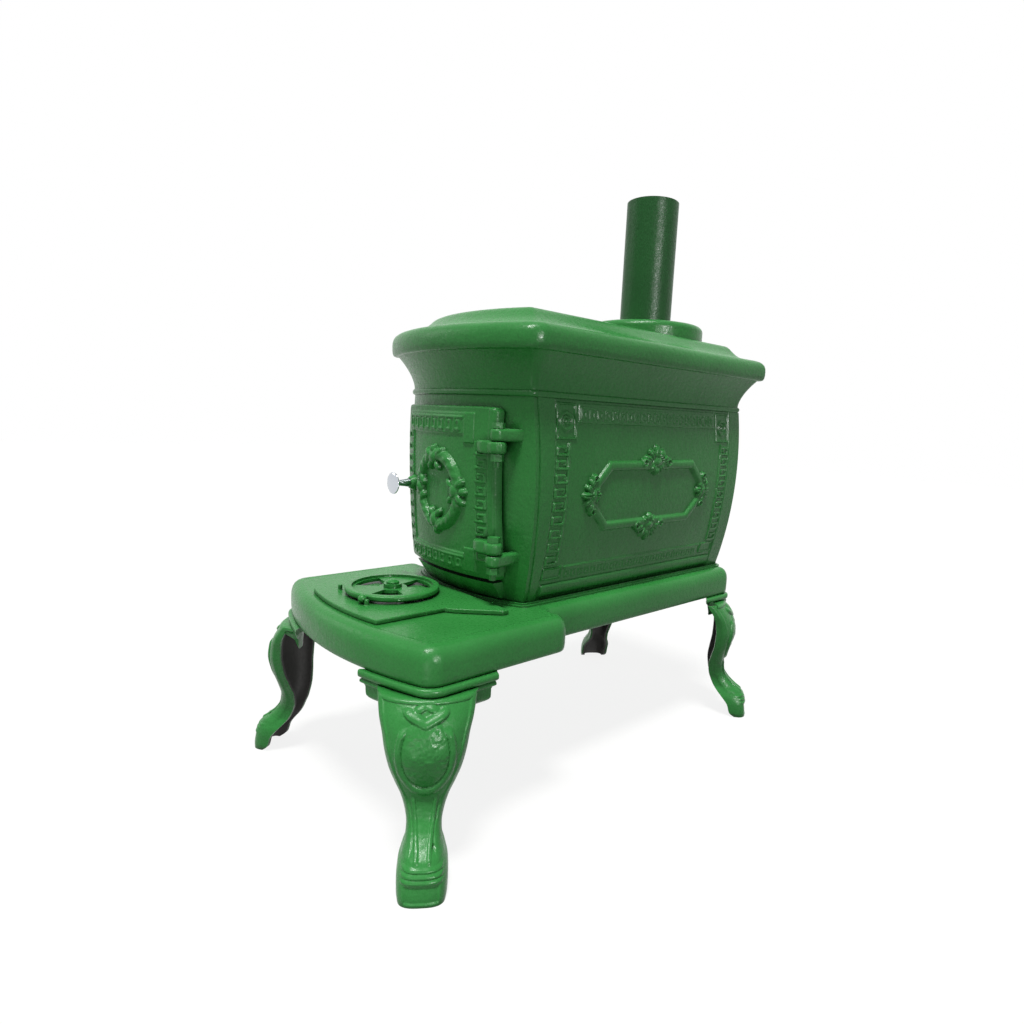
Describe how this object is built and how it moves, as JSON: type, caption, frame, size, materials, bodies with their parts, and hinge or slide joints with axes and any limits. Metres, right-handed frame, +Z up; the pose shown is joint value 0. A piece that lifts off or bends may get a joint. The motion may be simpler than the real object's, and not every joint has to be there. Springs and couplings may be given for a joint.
{
  "type": "box stove",
  "caption": "Cast-iron box stove on cabriole legs, with a bellied firebox, a hinged and latched fire door, a rotary draft in the lid of its hearth, and a flue pipe.",
  "frame": {"origin": "on the floor, at the middle of the stove's bounding box", "axes": "+Z up; the fire door and hearth face -Y; +X is the side with the door's hinges"},
  "size_m": [0.5362, 0.8504, 1.011],
  "materials": {
    "green_enamel": "green brushed and sprayed satin-gloss enamel over sand-cast iron",
    "pipe_enamel": "glossier green enamel over rolled sheet steel",
    "painted_fasteners": "green enamel worn off at the corners",
    "steel_fasteners": "dull oxidised steel",
    "raw_iron": "bare sooty cast iron",
    "chrome_knob": "polished chrome with fine wear"
  },
  "bodies": {
    "stove": {"base_hearth": "green_enamel", "leg_front_right": "green_enamel", "leg_front_left": "green_enamel", "leg_rear_right": "green_enamel", "leg_rear_left": "green_enamel", "leg_bolts": "steel_fasteners", "side_panel_right": "green_enamel", "side_panel_left": "green_enamel", "front_plate": "green_enamel", "back_plate": "green_enamel", "cornice": "green_enamel", "cook_top": "green_enamel", "flue_collar": "green_enamel", "collar_screws": "steel_fasteners", "flue_pipe": "pipe_enamel", "tie_rods": "steel_fasteners", "tie_rod_nuts": "steel_fasteners", "fire_grate": "raw_iron", "liner_right": "raw_iron", "liner_left": "raw_iron", "liner_rear": "raw_iron", "hinge_pin_upper": "painted_fasteners", "hinge_pin_lower": "painted_fasteners", "hinge_nuts": "painted_fasteners"},
    "door": {"fire_door": "green_enamel", "door_shield": "raw_iron", "shield_screws": "steel_fasteners"},
    "latch": {"latch_spindle": "steel_fasteners", "latch_knob": "chrome_knob", "latch_tongue": "raw_iron", "latch_nut": "steel_fasteners"},
    "lid": {"hearth_lid": "green_enamel", "draft_bolt": "painted_fasteners", "draft_washer": "steel_fasteners", "draft_nut": "steel_fasteners"},
    "draft": {"draft_disc": "green_enamel"}
  },
  "joints": [
    {"name": "door_hinge", "type": "hinge", "parent": "stove", "child": "door", "pos_m": [0.13, -0.211, 0.47], "axis": [0, 0, 1], "range_deg": [0, 150]},
    {"name": "latch_turn", "type": "hinge", "parent": "door", "child": "latch", "pos_m": [-0.082, -0.224, 0.471], "axis": [0, -1, 0], "range_deg": [0, 90]},
    {"name": "lid_lift", "type": "slide", "parent": "stove", "child": "lid", "axis": [0, -0.6, 0.8], "range_m": [0, 0.12]},
    {"name": "draft_turn", "type": "hinge", "parent": "lid", "child": "draft", "pos_m": [-0.02, -0.288, 0.3115], "axis": [0, 0, 1], "range_deg": [-60, 0]}
  ]
}
